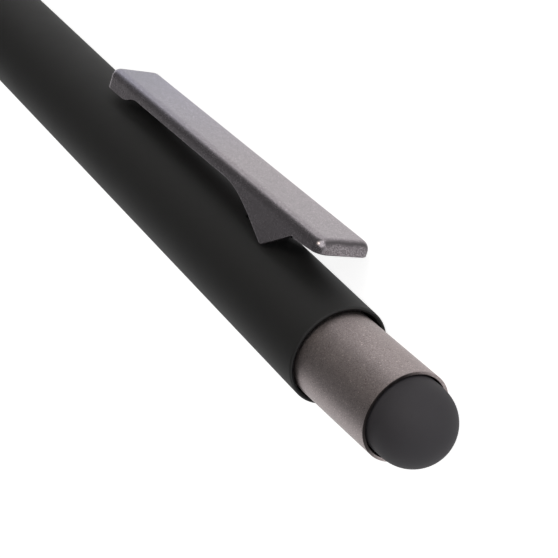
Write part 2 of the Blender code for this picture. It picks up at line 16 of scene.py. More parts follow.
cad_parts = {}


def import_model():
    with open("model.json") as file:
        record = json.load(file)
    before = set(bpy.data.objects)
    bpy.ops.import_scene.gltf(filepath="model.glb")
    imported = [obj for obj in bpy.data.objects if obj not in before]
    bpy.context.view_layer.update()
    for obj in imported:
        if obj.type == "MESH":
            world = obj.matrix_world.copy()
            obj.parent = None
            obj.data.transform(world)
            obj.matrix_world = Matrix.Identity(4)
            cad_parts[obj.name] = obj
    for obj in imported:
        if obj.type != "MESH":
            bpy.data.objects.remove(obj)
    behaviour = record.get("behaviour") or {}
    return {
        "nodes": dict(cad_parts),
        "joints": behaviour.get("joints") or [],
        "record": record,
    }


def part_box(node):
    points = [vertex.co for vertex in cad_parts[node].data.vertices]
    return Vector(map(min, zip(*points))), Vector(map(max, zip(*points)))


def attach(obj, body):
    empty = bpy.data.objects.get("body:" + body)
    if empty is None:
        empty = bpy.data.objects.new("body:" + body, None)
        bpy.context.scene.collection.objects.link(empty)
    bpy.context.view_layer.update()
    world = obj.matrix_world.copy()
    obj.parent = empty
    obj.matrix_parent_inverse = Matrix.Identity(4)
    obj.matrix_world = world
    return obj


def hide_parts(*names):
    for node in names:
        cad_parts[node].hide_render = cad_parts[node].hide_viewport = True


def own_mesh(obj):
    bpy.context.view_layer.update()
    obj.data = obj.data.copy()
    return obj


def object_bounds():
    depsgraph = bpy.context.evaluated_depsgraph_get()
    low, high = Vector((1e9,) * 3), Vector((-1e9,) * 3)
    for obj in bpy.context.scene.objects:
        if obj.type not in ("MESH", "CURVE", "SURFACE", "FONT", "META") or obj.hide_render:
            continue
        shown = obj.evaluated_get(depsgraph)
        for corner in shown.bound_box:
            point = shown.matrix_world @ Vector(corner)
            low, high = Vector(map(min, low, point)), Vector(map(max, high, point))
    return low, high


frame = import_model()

MM = 0.001

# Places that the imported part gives
cad_low, cad_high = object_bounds()
barrel_low, barrel_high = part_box("barrel")
joints = {joint["name"]: joint for joint in frame["joints"]}
barrel_radius = (barrel_high.z - barrel_low.z) / 2
axis_point = np.array([0, (barrel_low.y + barrel_high.y) / 2, (barrel_low.z + barrel_high.z) / 2])
along_way = np.array([1.0, 0.0, 0.0])
across_way = -np.array(joints["clip_flex"]["axis"]) / np.linalg.norm(joints["clip_flex"]["axis"])
out_way = np.cross(across_way, along_way)
pen_ways = np.stack([along_way, out_way, across_way])
tip_x = cad_low.x
front_x = barrel_low.x
mouth_x = barrel_high.x

# Fits
seat_gap = 0.3 * MM
run_gap = 0.25 * MM
ball_gap = 0.08 * MM
weld = 0.0001 * MM
small_radius = 0.02 * MM

# Barrel, with the slot for the clip's bracket
rear_bore = barrel_radius - 0.35 * MM
front_bore = barrel_radius - 0.8 * MM
mouth_round = 0.22 * MM
front_round = 0.15 * MM
bore_round = 0.04 * MM
step_round = 0.02 * MM
bracket_width = 2.4 * MM
bracket_sheet = 0.6 * MM
weld_flange = 2.2 * MM
hook_reach = 1.5 * MM
neck_length = 2.0 * MM
lock_flange = 1.0 * MM
lock_length = 1.5 * MM
bracket_round = 0.15 * MM
plug_round = 0.1 * MM
sheet_edge = 0.08 * MM
neck_top_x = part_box("clip_bracket")[1].x - weld_flange
slot_low_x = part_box("clip_lock")[0].x + lock_flange
slot_high_x = neck_top_x + seat_gap
bore_step_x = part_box("cam_housing")[0].x - seat_gap
bracket_inside = math.sqrt(rear_bore**2 - (bracket_width / 2) ** 2) - seat_gap

# Push button and its rubber tip
button_reach = 10.7 * MM
stylus_reach = 4.9 * MM
sleeve_radius = rear_bore - run_gap
sleeve_wall = 0.77 * MM
sleeve_engagement = 2.2 * MM
lip_wall = 0.3 * MM
lip_depth = 4.5 * MM
lip_rim = 0.05 * MM
lip_outer_round = 0.02 * MM
lip_inner_round = 0.04 * MM
ledge_outer_round = 0.03 * MM
ledge_inner_round = 0.05 * MM
sleeve_end_round = 0.1 * MM
sleeve_bore_round = 0.08 * MM
# Painted shade on the sleeve's narrow rim: the way its side faces (out, across), where it starts and how it
# fades
rim_shade_way = (0.144, 0.99)
rim_shade_start = 0.6 * MM
rim_shade_fade = 1.8 * MM
dome_radius = 3.92 * MM
dome_wall = 1.0 * MM
dome_skirt = 3.1 * MM
skirt_round = 0.3 * MM
skirt_bore_round = 0.1 * MM
lip_x = mouth_x + button_reach
lean_reach = 2.0 * MM
lean_out = math.radians(2.0)
lean_across = math.radians(-1.1)

# Clip
clip_length = 43.1 * MM
clip_width = 5.9 * MM
clip_setback = 4.1 * MM
clip_root_height = 4.27 * MM
clip_free_height = 2.64 * MM
clip_sheet = 0.5 * MM
clip_bend = 0.95 * MM
clip_inner_bend = 0.4 * MM
clip_root_corner = 1.1 * MM
clip_free_corner = 1.1 * MM
clip_edge = 0.09 * MM
# Painted shade round the clip's root bend and on its shear-cut end face, which also has its own coarse
# grain
shade_band_half = 2.2 * MM
shade_band_fade = 0.25 * MM
shade_band_start = 0.8 * MM
shade_band_soft = 0.45 * MM
shade_wander = 0.3 * MM
sheared_shade_start = 0.24 * MM
sheared_shade_soft = 0.2 * MM
# A painted cool reflection on the plate's face towards the free end
blue_start = 18 * MM
blue_fade = 22 * MM
blue_depth = 0.2 * MM
blue_depth_fade = 0.5 * MM
clip_lip = 1.42 * MM
notch_setback = 4.6 * MM
notch_depth = 1.76 * MM
nick = 0.13 * MM
nick_length = 0.55 * MM
fin_setback = 8.75 * MM
fin_round = 0.6 * MM
fin_gap = 0.15 * MM
fin_length = 17.3 * MM
arm_depth = 1.4 * MM
toe_depth = 2.21 * MM
toe_length = 3.7 * MM
toe_ramp = 3.3 * MM
toe_round = 0.5 * MM
foot_end_degrees = 48
fin_leave_shares = (0.22, 0.3)
fin_meet_share = 0.62
clip_slope = math.atan2(clip_root_height - clip_free_height, clip_length)
clip_face = barrel_radius + clip_root_height
clip_root_x = mouth_x - clip_setback
pivot_out = math.sqrt(barrel_radius**2 - (clip_width / 2 - clip_sheet) ** 2) + fin_gap

# Nose, bush and their screw thread
nose_length = 14.4 * MM
nose_crown = 0.7 * MM
nose_rim = 0.5 * MM
nose_rim_round = 0.25 * MM
point_radius = 1.15 * MM
spring_floor = 7.1 * MM
spring_pocket = 2.75 * MM
spigot_radius = 3.2 * MM
spigot_length = 8.1 * MM
spigot_relief = 0.7 * MM
spigot_round = 0.03 * MM
thread_margin = 3 * spigot_round
spigot_root_round = 0.05 * MM
shoulder_round = 0.06 * MM
hole_round = 0.12 * MM
hole_end_round = 0.05 * MM
pocket_round = 0.15 * MM
bush_round = 0.1 * MM
bush_overlap = 1.5 * MM
thread_pitch = 0.75 * MM
spigot_thread = 0.36 * MM
bush_thread = 0.5 * MM
thread_steps = 12
thread_slope = 1.35
thread_flat = 0.17
groove_end_share = 0.2
thread_start_share = 0.3
shoulder_x = tip_x + nose_length

# Refill and spring
point_retreat = 1.5 * MM
refill_radius = 1.5 * MM
refill_wall = 0.3 * MM
point_length = 12.0 * MM
point_tail_length = 3.0 * MM
point_cone_length = 2.6 * MM
point_rim = 0.12 * MM
ball_radius = 0.5 * MM
ball_show = 0.25 * MM
ink_channel = 0.3 * MM
crimp_height = 24.8 * MM
crimp_radius = 2.1 * MM
crimp_length = 0.8 * MM
crimp_round = 0.2 * MM
refill_round = 0.06 * MM
point_cone_round = 0.3 * MM
socket_round = 0.1 * MM
socket_rim_round = 0.02 * MM
wire_radius = 0.225 * MM
coil_radius = 2.075 * MM
spring_turns = 13
closed_turn_gap = 0.46 * MM

# Finishes: colours of the coating and the rubber, and levels and tints of the plated metal
coat_dark = (0.0085, 0.0085, 0.0087)
coat_light = (0.0115, 0.0115, 0.0117)
coat_tooth = (0.016, 0.016, 0.0164)
coat_dust = (0.12, 0.12, 0.12)
rubber_dark = (0.033, 0.03, 0.0355)
rubber_light = (0.043, 0.0392, 0.0465)
rubber_tooth = (0.04, 0.0375, 0.042)
metal_dark = 0.255
metal_light = 0.525
metal_glint = 0.78
metal_pit = 0.13
# The dark of the clip's painted shade, and the light of its end face's own grain
sheared_and_shade_dark = 0.08
sheared_light = 0.4
# The painted shade on the push sleeve's rim
rim_shade_level = 0.03
nose_tint = (1, 0.87, 0.865)
clip_tint = (0.99, 0.905, 0.965)
# A painted cool reflection, multiplied into the clip plate's face towards its free end
painted_cool_cast_tint = (0.86, 0.91, 1.03)
sleeve_tint = (1.05, 0.91, 0.905)
blasted_roughness = 0.46
clip_roughness = 0.25

# How finely curves are cut
turn_steps = 192
small_turn_steps = 96
ball_turn_steps = 48
ball_points = 33
arc_steps = 8
edge_points = 5
nose_points = 40
dome_points = 40
curve_points = 24
foot_points = 24
toe_points = 12
corner_points = 14
bend_points = 12
run_points = 280
coil_steps = 28
wire_points = 14
flat_margin = 0.05 * MM
flat_margin_share = 0.2
crease = math.radians(32)

# The photograph's camera, from the barrel's outline, the mouth, the clip and the rubber tip
camera_focus = 1921.72
photo_side = 558
sensor = 36.0
camera_near = 0.005
camera_far = 50
camera_from_mouth = Vector((119.46, 67.006, 102.066)) * MM
camera_right = Vector((0.48468, 0.30482, -0.81985))
camera_up = Vector((-0.47478, 0.87889, 0.04609))

# The studio: the floor glows for the camera and in metal, and the sky darkens upwards
floor_reach = 6.0
floor_glow = 0.87
floor_glow_in_metal = 0.6
floor_colour = (0.7, 0.7, 0.7)
sky_dark = 0.1
sky_edge = 0.16
sky_soft = 0.3
sky_tilt = 0.36
warm_white = (1, 0.9, 0.76)
side_lamp = {"way": (0.5, 0.8, 0.33), "distance": 0.25, "size": 0.3, "energy": 0.31}
warm_lamp = {"way": (0.03, 0.7, 0.66), "distance": 0.8, "size": 0.24, "energy": 0.75, "colour": warm_white}


def to_frame(along, out, across, lean=None):
    """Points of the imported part's frame from places along, out from and across the pen's axis.

    A lean is a turn about the point on the axis that the leaning button pivots on.
    """
    points = np.stack(np.broadcast_arrays(along, out, across), -1).astype(float)
    if lean is not None:
        pivot = np.array([mouth_x + lean_reach, 0, 0])
        points = (points - pivot) @ lean.T + pivot
    return points @ pen_ways + axis_point


def button_lean():
    """The small turn that the button's play gives it: its axis goes out and across by two angles."""
    way = Vector((0, -math.sin(lean_across), math.sin(lean_out)))
    return np.array(Matrix.Rotation(math.asin(way.length), 3, way.normalized()))


def rounded(corners, closed=True):
    """An outline of (place, place, radius) corners, each turned into an arc that touches both sides.

    An arc runs evenly between the two points where it touches. One more point beside each keeps
    the shading of the flats flat.
    """
    spots = np.array([corner[:2] for corner in corners], float)
    line = []
    for i, (here, corner) in enumerate(zip(spots, corners)):
        radius = corner[2]
        if radius == 0 or (not closed and i in (0, len(spots) - 1)):
            line.append(here[None])
            continue
        before = spots[i - 1] - here
        after = spots[(i + 1) % len(spots)] - here
        a = before / np.linalg.norm(before)
        b = after / np.linalg.norm(after)
        half = math.acos(float(a @ b)) / 2
        reach = radius / math.tan(half)
        middle = here + (a + b) / np.linalg.norm(a + b) * radius / math.sin(half)
        start = here + a * reach
        end = here + b * reach
        share = np.linspace(0, 1, arc_steps + 1)[:, None]
        sweep = math.pi - 2 * half
        first = np.sin((1 - share) * sweep) * (start - middle)
        second = np.sin(share * sweep) * (end - middle)
        spare = min(np.linalg.norm(before), np.linalg.norm(after)) - reach
        beside = min(flat_margin, flat_margin_share * spare)
        arc = middle + (first + second) / math.sin(sweep)
        line.append(np.vstack([start + a * beside, arc, end + b * beside]))
    return np.vstack(line)


def with_stops(profile, stops, low_radius, high_radius):
    """A profile with more points where its straight runs between two radii pass the given places."""
    line = []
    for here, after in zip(profile, np.roll(profile, -1, axis=0)):
        line.append(here[None])
        if abs(here[1] - after[1]) < weld and low_radius < here[1] < high_radius:
            low, high = sorted((here[0], after[0]))
            inside = np.sort(stops[(stops > low + weld) & (stops < high - weld)])
            places = inside if after[0] > here[0] else inside[::-1]
            line.append(np.stack([places, np.full(len(places), here[1])], -1))
    return np.vstack(line)


def grid_faces(rows, columns, wrap_rows=False, wrap_columns=False):
    """The faces of a grid of points: each joins a point with the next ones both ways."""
    i = np.arange(rows if wrap_rows else rows - 1)[:, None]
    j = np.arange(columns if wrap_columns else columns - 1)[None, :]
    after_i = (i + 1) % rows
    after_j = (j + 1) % columns
    corners = (i * columns + j, after_i * columns + j, after_i * columns + after_j, i * columns + after_j)
    return np.stack(corners, -1)


def piece(name, points, faces, finish, body, node):
    """One closed mesh in place of a node: doubled points merged, faces outwards, smooth between creases."""
    mesh = bpy.data.meshes.new(name)
    mesh.from_pydata(points.reshape(-1, 3).tolist(), [], [list(face) for face in faces])
    form = bmesh.new()
    form.from_mesh(mesh)
    bmesh.ops.remove_doubles(form, verts=form.verts, dist=weld)
    bmesh.ops.recalc_face_normals(form, faces=form.faces)
    form.to_mesh(mesh)
    form.free()
    mesh.shade_smooth()
    mesh.set_sharp_from_angle(angle=crease)
    mesh.materials.append(finish)
    made = bpy.data.objects.new(name, mesh)
    bpy.context.scene.collection.objects.link(made)
    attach(made, body)
    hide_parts(node)
    return made


def turned(profile, steps=turn_steps, closed=True, lean=None, relief=None):
    """Points and faces of a profile of (place along, radius) carried round the pen's axis.

    out = radius * cos(angle), across = radius * sin(angle), and a relief takes a depth that
    depends on the place and the angle from the radius.
    """
    angle = np.linspace(0, math.tau, steps, endpoint=False)[None, :]
    place = profile[:, 0, None]
    radius = profile[:, 1, None] + 0 * angle
    if relief is not None:
        radius = radius - relief(place, angle)
    points = to_frame(place, radius * np.cos(angle), radius * np.sin(angle), lean)
    faces = grid_faces(len(profile), steps, wrap_rows=closed, wrap_columns=True)
    return points, faces.reshape(-1, 4)


class Amount:
    """A number in a material that varies over the surface. Arithmetic on it adds Math nodes."""

    def __init__(self, finish, socket):
        self.finish = finish
        self.socket = socket

    def maths(self, operation, first, second, clamp=False):
        """Adds one Math node on two numbers or amounts."""
        settings = {"operation": operation, "use_clamp": clamp}
        return self.finish.node("ShaderNodeMath", settings, {0: first, 1: second})

    def __add__(self, other):
        return self.maths("ADD", self, other)

    __radd__ = __add__

    def __sub__(self, other):
        return self.maths("SUBTRACT", self, other)

    def __rsub__(self, other):
        return self.maths("SUBTRACT", other, self)

    def __mul__(self, other):
        return self.maths("MULTIPLY", self, other)

    __rmul__ = __mul__

    def above(self, level, width):
        """Zero below a level and one from a width above it."""
        return self.maths("MULTIPLY", self - level, 1 / width, clamp=True)

    def below(self, level, width):
        """One below a level and zero from a width above it."""
        return 1 - self.above(level, width)


class Nodes:
    """A node tree, with methods that add a node of any kind and set or link its sockets."""

    def __init__(self, tree):
        self.tree = tree

    def node(self, kind, settings=None, values=None, output=0):
        """Adds a node, with its settings and then its sockets' values or links."""
        made = self.tree.nodes.new(kind)
        for name, value in (settings or {}).items():
            setattr(made, name, value)
        for socket, value in (values or {}).items():
            self.join(made.inputs[socket], value)
        return None if output is None else Amount(self, made.outputs[output])

    def join(self, socket, value):
        """Sets a socket, or links an amount to it."""
        if isinstance(value, Amount):
            self.tree.links.new(value.socket, socket)
        elif socket.type == "RGBA":
            socket.default_value = (*value, 1)
        else:
            socket.default_value = value


class Finish(Nodes):
    """A material: its nodes end in one Principled shader."""

    def __init__(self, name, roughness, metallic=0.0, **plain):
        self.material = bpy.data.materials.new(name)
        self.material.use_nodes = True
        super().__init__(self.material.node_tree)
        self.shader = self.tree.nodes["Principled BSDF"]
        self.set("Roughness", roughness)
        self.set("Metallic", metallic)
        for socket, value in plain.items():
            self.set(socket, value)
        self.place = self.node("ShaderNodeTexCoord", output="Object")

    def set(self, socket, value):
        """Sets or links one of the shader's own sockets."""
        self.join(self.shader.inputs[socket], value)

    def noise(self, size, detail=2.0, roughness=0.5, stretch=(1, 1, 1)):
        """Soft noise, from zero to one, with features of a real size, longer by the stretch."""
        scale = tuple(1 / part for part in stretch)
        scaled = self.node("ShaderNodeMapping", None, {"Vector": self.place, "Scale": scale})
        values = {"Vector": scaled, "Scale": 1 / size, "Detail": detail, "Roughness": roughness}
        return self.node("ShaderNodeTexNoise", None, values)

    def cells(self, size):
        """The distance to the nearest of scattered points, in cells of a real size."""
        values = {"Vector": self.place, "Scale": 1 / size}
        return self.node("ShaderNodeTexVoronoi", {"feature": "F1"}, values, "Distance")

    def blend(self, share, first, second, kind="MIX"):
        """A colour between two, by an amount, or of the kind MULTIPLY, the first shaded by the second."""
        settings = {"data_type": "RGBA", "blend_type": kind}
        return self.node("ShaderNodeMix", settings, {0: share, 6: first, 7: second}, 2)

    def distance(self, way, start):
        """How far a point lies along a way, past a start."""
        values = {0: self.place, 1: way}
        along = self.node("ShaderNodeVectorMath", {"operation": "DOT_PRODUCT"}, values, "Value")
        return along - start

    def plated(self, level):
        """The plating's tint at a level from black to white."""
        return tuple(level * part for part in self.tint)

    def relief(self, *layers):
        """Bump from layers of (height from zero to one, depth)."""
        normal = None
        for height, depth in layers:
            values = {"Height": height, "Distance": depth, "Strength": 1.0}
            if normal is not None:
                values["Normal"] = normal
            normal = self.node("ShaderNodeBump", None, values, "Normal")
        self.set("Normal", normal)
        return self.material


def soft_touch_black():
    """Matte rubberised coating: near black, faintly clouded, with a fine tooth and a little dust."""
    finish = Finish("soft_touch_black", 0.6, IOR=1.5)
    cloud = finish.noise(4.0 * MM, 3)
    tooth = finish.noise(0.09 * MM, 2, 0.6)
    dust = finish.cells(2.6 * MM).below(0.02, 0.02) * finish.noise(3.1 * MM, 1).above(0.55, 0.1)
    colour = finish.blend(cloud, coat_dark, coat_light)
    colour = finish.blend(tooth.above(0.35, 0.5) * 0.35, colour, coat_tooth)
    finish.set("Base Color", finish.blend(dust * 0.5, colour, coat_dust))
    finish.set("Roughness", 0.58 + 0.1 * cloud + 0.08 * tooth)
    return finish.relief((finish.noise(1.2 * MM, 2), 0.004 * MM), (tooth, 0.003 * MM))


def blasted_gunmetal(name, roughness, tint):
    """Fine blasted metal plated grey: a tight grain of lighter and darker facets over soft clouds."""
    finish = Finish(name, roughness, 1.0)
    finish.tint = tint
    grain = finish.noise(0.085 * MM, 3, 0.65)
    cloud = finish.noise(1.3 * MM, 3, 0.55)
    glint = finish.noise(0.14 * MM, 1, 0.5).above(0.62, 0.1)
    pit = finish.noise(0.11 * MM, 1, 0.5).below(0.3, 0.1)
    shade = 0.5 + 2.3 * (grain - 0.5) + 0.3 * (cloud - 0.5)
    colour = finish.blend(shade, finish.plated(metal_dark), finish.plated(metal_light))
    colour = finish.blend(glint * 0.6, colour, finish.plated(metal_glint))
    finish.colour = finish.blend(pit * 0.5, colour, finish.plated(metal_pit))
    finish.set("Base Color", finish.colour)
    finish.set("Roughness", roughness - 0.06 + 0.1 * grain + 0.04 * cloud)
    finish.relief((grain, 0.006 * MM), (finish.noise(0.3 * MM, 2), 0.003 * MM))
    return finish


def sheared_end_with_painted_shade():
    """The clip's metal, with painted shade: a dark band round the bend at its root end, and the end's
    shear-cut face coarse and darker, partly its own grain and partly painted shade.

    Both fade before the corners, and their edges wander a little. The plate's face takes a painted
    cool reflection, turning a little bluer and darker towards the free end.
    """
    finish = blasted_gunmetal("clip_gunmetal", clip_roughness, clip_tint)
    wander = shade_wander * (finish.noise(1.3 * MM, 3, 0.55) - 0.5)
    place = finish.distance(along_way, clip_root_x) + wander
    inside = finish.distance(across_way, across_way @ axis_point).below(shade_band_half, shade_band_fade)
    # Painted shade: a dark band round the bend at the root end, where the bend reflects shade
    band = place.above(-shade_band_start, shade_band_soft)
    # The shear-cut end face: its own coarse grain, darkened partly by painted shade
    sheared_and_shaded = place.above(-sheared_shade_start, sheared_shade_soft)
    coarse = finish.noise(0.09 * MM, 2, 0.5).above(0.33, 0.3)
    dark = finish.plated(sheared_and_shade_dark)
    colour = finish.blend(band * inside * 0.9, finish.colour, dark)
    grains = finish.blend(coarse, dark, finish.plated(sheared_light))
    colour = finish.blend(sheared_and_shaded * inside, colour, grains)
    # Painted cool reflection: the plate's face turns bluer and darker towards the free end
    towards_free = finish.distance(-along_way, -clip_root_x).above(blue_start, blue_fade)
    inwards = math.sin(clip_slope) * along_way - math.cos(clip_slope) * out_way
    below_face = finish.distance(inwards, inwards @ to_frame(clip_root_x, clip_face, 0))
    on_face = below_face.below(blue_depth, blue_depth_fade)
    colour = finish.blend(towards_free * on_face, colour, painted_cool_cast_tint, "MULTIPLY")
    finish.set("Base Color", colour)
    return finish


def rim_with_painted_shade():
    """The push sleeve's metal, with painted shade on the side of its narrow rim that faces up and to the
    clip.
    """
    finish = blasted_gunmetal("sleeve_gunmetal", blasted_roughness, sleeve_tint)
    lean = button_lean()
    way = (lean @ (1, 0, 0)) @ pen_ways
    rim = to_frame(lip_x, 0, 0, lean)
    side = np.array([0, *rim_shade_way]) @ pen_ways
    on_rim = finish.distance(way, way @ rim).above(-lip_rim, lip_rim / 2)
    on_side = finish.distance(side, side @ rim).above(rim_shade_start, rim_shade_fade)
    # Painted shade on the rim's side that faces up and to the clip
    painted_rim_shade = finish.blend(on_rim * on_side * 0.9, finish.colour, finish.plated(rim_shade_level))
    finish.set("Base Color", painted_rim_shade)
    return finish


def stylus_rubber():
    """Matte conductive rubber: dark grey with a faint bloom and a very fine tooth."""
    finish = Finish("stylus_rubber", 0.75, IOR=1.6)
    bloom = finish.noise(1.8 * MM, 3, 0.55)
    tooth = finish.noise(0.07 * MM, 2, 0.6)
    colour = finish.blend(bloom, rubber_dark, rubber_light)
    finish.set("Base Color", finish.blend(tooth * 0.25, colour, rubber_tooth))
    finish.set("Roughness", 0.7 + 0.12 * bloom)
    return finish.relief((tooth, 0.002 * MM), (finish.noise(0.6 * MM, 2), 0.003 * MM))


def machined(name, dark, light, roughness):
    """Turned bar metal: fine tool marks that run round the pen, and faint handling marks."""
    finish = Finish(name, roughness, 1.0)
    marks = finish.noise(0.05 * MM, 3, 0.6, (1, 60, 60))
    stain = finish.noise(1.5 * MM, 3)
    finish.set("Base Color", finish.blend(0.6 * marks + 0.4 * stain, dark, light))
    finish.set("Roughness", roughness - 0.08 + 0.16 * stain)
    return finish.relief((marks, 0.003 * MM))


def drawn_steel():
    """Bright drawn steel: a pale grey with a very fine tooth and a little tarnish."""
    finish = Finish("steel", 0.28, 1.0)
    tooth = finish.noise(0.06 * MM, 2, 0.6)
    tarnish = finish.noise(0.9 * MM, 3)
    finish.set("Base Color", finish.blend(tarnish, (0.5, 0.5, 0.52), (0.68, 0.68, 0.69)))
    finish.set("Roughness", 0.2 + 0.14 * tarnish + 0.06 * tooth)
    return finish.relief((tooth, 0.002 * MM))


def moulded(name, dark, light, roughness):
    """Moulded plastic: an even colour with faint flow clouds and a fine spark-eroded texture."""
    finish = Finish(name, roughness, IOR=1.48)
    flow = finish.noise(2.2 * MM, 2)
    spark = finish.noise(0.12 * MM, 2, 0.6)
    finish.set("Base Color", finish.blend(flow, dark, light))
    finish.set("Roughness", roughness - 0.06 + 0.14 * spark)
    return finish.relief((spark, 0.004 * MM))


finishes = {
    "soft_touch_black": soft_touch_black(),
    "gunmetal": blasted_gunmetal("gunmetal", blasted_roughness, nose_tint).material,
    "clip_gunmetal": sheared_end_with_painted_shade().material,
    "sleeve_gunmetal": rim_with_painted_shade().material,
    "stylus_rubber": stylus_rubber(),
    "brass": machined("brass", (0.6, 0.43, 0.18), (0.78, 0.6, 0.3), 0.3),
    "steel": drawn_steel(),
    "white_plastic": moulded("white_plastic", (0.7, 0.7, 0.66), (0.78, 0.78, 0.75), 0.42),
    "dark_plastic": moulded("dark_plastic", (0.022, 0.022, 0.023), (0.036, 0.036, 0.037), 0.45),
    "ink": moulded("ink", (0.006, 0.01, 0.06), (0.012, 0.02, 0.1), 0.25),
    "follower_grease": moulded("follower_grease", (0.6, 0.55, 0.36), (0.72, 0.67, 0.48), 0.3),
}


def dress_nodes():
    """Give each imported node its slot's finish. The nodes that no new piece stands for keep showing."""
    for part in frame["record"]["subparts"]:
        node = frame["nodes"][part["node"]]
        node.data.materials.clear()
        node.data.materials.append(finishes[part["material_slot"]])


def barrel():
    """The coated tube, its round mouth and the slot under the clip.

    The slot's columns of points lie evenly over its width at every radius, and the others evenly
    round the rest. The faces in the slot are left out of the outer and the inner wall, and four
    walls join the two edges.
    """
    corners = [(front_x, front_bore, bore_round), (front_x, barrel_radius, front_round)]
    corners += [(mouth_x, barrel_radius, mouth_round), (mouth_x, rear_bore, mouth_round / 2)]
    corners += [(bore_step_x, rear_bore, step_round), (bore_step_x, front_bore, step_round)]
    stops = np.array([slot_low_x, slot_high_x])
    profile = with_stops(rounded(corners), stops, rear_bore - weld, barrel_radius + weld)
    place = profile[:, 0, None]
    radius = profile[:, 1, None]
    across_columns = 12
    half = bracket_width / 2 + seat_gap
    over = np.arcsin(np.linspace(-1, 1, across_columns + 1)[None, :] * half / radius)
    edge = np.arcsin(half / radius)
    rest = edge + (math.tau - 2 * edge) * np.linspace(0, 1, turn_steps - across_columns)[None, 1:-1]
    angle = np.hstack([over, rest])
    columns = angle.shape[1]
    points = to_frame(place, radius * np.cos(angle), radius * np.sin(angle))
    faces = grid_faces(len(profile), columns, wrap_rows=True, wrap_columns=True)
    low_rows = np.flatnonzero(np.isclose(profile[:, 0], slot_low_x, atol=weld))
    high_rows = np.flatnonzero(np.isclose(profile[:, 0], slot_high_x, atol=weld))
    keep = np.ones(faces.shape[:2], bool)
    for low, high in zip(low_rows, high_rows):
        keep[min(low, high), :across_columns] = False
    walls = []
    for a, b in (low_rows * columns, high_rows * columns):
        walls += [(a + j, a + j + 1, b + j + 1, b + j) for j in range(across_columns)]
    for j in (0, across_columns):
        walls.append([row * columns + j for row in (low_rows[0], high_rows[0], high_rows[1], low_rows[1])])
    faces = faces[keep].tolist() + [list(map(int, wall)) for wall in walls]
    coat = "soft_touch_black"
    piece("coated_barrel", points, faces, finishes[coat], "barrel", "barrel")


def bush():
    """The brass bush in the barrel's front end, with the nose's screw thread inside."""
    outer = front_bore - seat_gap
    inner = spigot_radius + seat_gap
    low = front_x + seat_gap
    high = shoulder_x + spigot_length + bush_overlap
    corners = [(low, outer), (high, outer), (high, inner), (low, inner)]
    section = rounded([(*corner, bush_round) for corner in corners])
    stops = np.arange(low, high, thread_pitch / thread_steps)
    profile = with_stops(section, stops, inner - weld, inner + weld)
    on_bore = (np.abs(profile[:, 1, None] - inner) < weld).astype(float)

    def relief(place, angle):
        """The thread, which runs out over the last pitch at both ends."""
        ends = np.clip((place - low) / thread_pitch, 0, 1) * np.clip((high - place) / thread_pitch, 0, 1)
        return bush_thread * on_bore * ends * thread_form(place, angle)

    points, faces = turned(profile, small_turn_steps, relief=relief)
    piece("threaded_bush", points, faces, finishes["brass"], "barrel", "thread_bush")


def thread_form(place, angle):
    """A screw thread's depth from zero on its crest to one in its root.

    Its phase grows by one in each pitch along the pen and falls by one in each turn. The form is a
    triangle wave with its peaks and roots cut flat.
    """
    phase = np.mod(place / thread_pitch - angle / math.tau, 1)
    return np.clip(thread_slope * np.abs(2 * phase - 1) - thread_flat, 0, 1)


def nose():
    """The metal nose: its outside narrows along an arch, with the screwed spigot behind it.

    The arch's radius is a straight line plus crown * 4 * share * (1 - share). Inside are the point's
    hole and the spring's pocket. The arch starts a few steps on, where the shoulder's round has ended.
    """
    hole = point_radius + seat_gap
    tip = hole + nose_rim
    arch_start = 6
    share = np.linspace(0, 1, nose_points)[:, None]
    arch = barrel_radius + (tip - barrel_radius) * share + nose_crown * 4 * share * (1 - share)
    outside = np.hstack([shoulder_x + (nose_rim_round - nose_length) * share, arch])
    spigot_top = shoulder_x + spigot_length
    shoulder = [(spigot_top, spring_pocket, spigot_round), (spigot_top, spigot_radius, spigot_round)]
    shoulder.append((shoulder_x, spigot_radius, spigot_root_round))
    shoulder += [(shoulder_x, barrel_radius, shoulder_round), (*outside[arch_start], 0)]
    shoulder = rounded(shoulder, closed=False)
    inside = [(tip_x, tip, nose_rim_round), (tip_x, hole, hole_round)]
    floor_x = tip_x + spring_floor
    inside += [(floor_x, hole, hole_end_round), (floor_x, spring_pocket, pocket_round)]
    inside = rounded([(*outside[-2], 0), *inside, (spigot_top, spring_pocket, 0)], closed=False)
    profile = np.vstack([shoulder, outside[arch_start + 1:-2], inside[:-1]])
    stops = np.arange(shoulder_x, spigot_top, thread_pitch / thread_steps)
    profile = with_stops(profile, stops, spigot_radius - weld, spigot_radius + weld)
    off_spigot = spigot_radius - profile[:, 1, None]
    on_spigot = (profile[:, 0, None] > shoulder_x) & (off_spigot > -weld) & (off_spigot < thread_margin)

    def relief(place, angle):
        """The thread, cut to its full depth in a groove by the shoulder and again over its last pitch."""
        groove_end = groove_end_share * thread_pitch
        past_groove = np.clip((place - shoulder_x - spigot_relief) / groove_end, 0, 1)
        before_top = np.clip((spigot_top - place) / thread_pitch, 0, 1)
        deep = np.maximum(thread_form(place, angle), 1 - np.minimum(past_groove, before_top))
        start = np.clip((place - shoulder_x) / (thread_start_share * thread_pitch), 0, 1)
        return spigot_thread * on_spigot * deep * start

    points, faces = turned(profile, turn_steps, relief=relief)
    piece("screw_nose", points, faces, finishes["gunmetal"], "nose", "nose_cone")


def button():
    """The push sleeve, leaning by its play: a blasted tube with a narrow flat rim round the rubber tip."""
    lip_bore = sleeve_radius - lip_wall
    sleeve_bore = sleeve_radius - sleeve_wall
    bottom = mouth_x - sleeve_engagement
    ledge = lip_x - lip_depth
    corners = [(bottom, sleeve_bore, sleeve_bore_round), (bottom, sleeve_radius, sleeve_end_round)]
    corners += [(lip_x, sleeve_radius, lip_outer_round), (lip_x, lip_bore, lip_inner_round)]
    corners += [(ledge, lip_bore, ledge_outer_round), (ledge, sleeve_bore, ledge_inner_round)]
    points, faces = turned(rounded(corners), lean=button_lean())
    piece("push_sleeve", points, faces, finishes["sleeve_gunmetal"], "button", "button_sleeve")


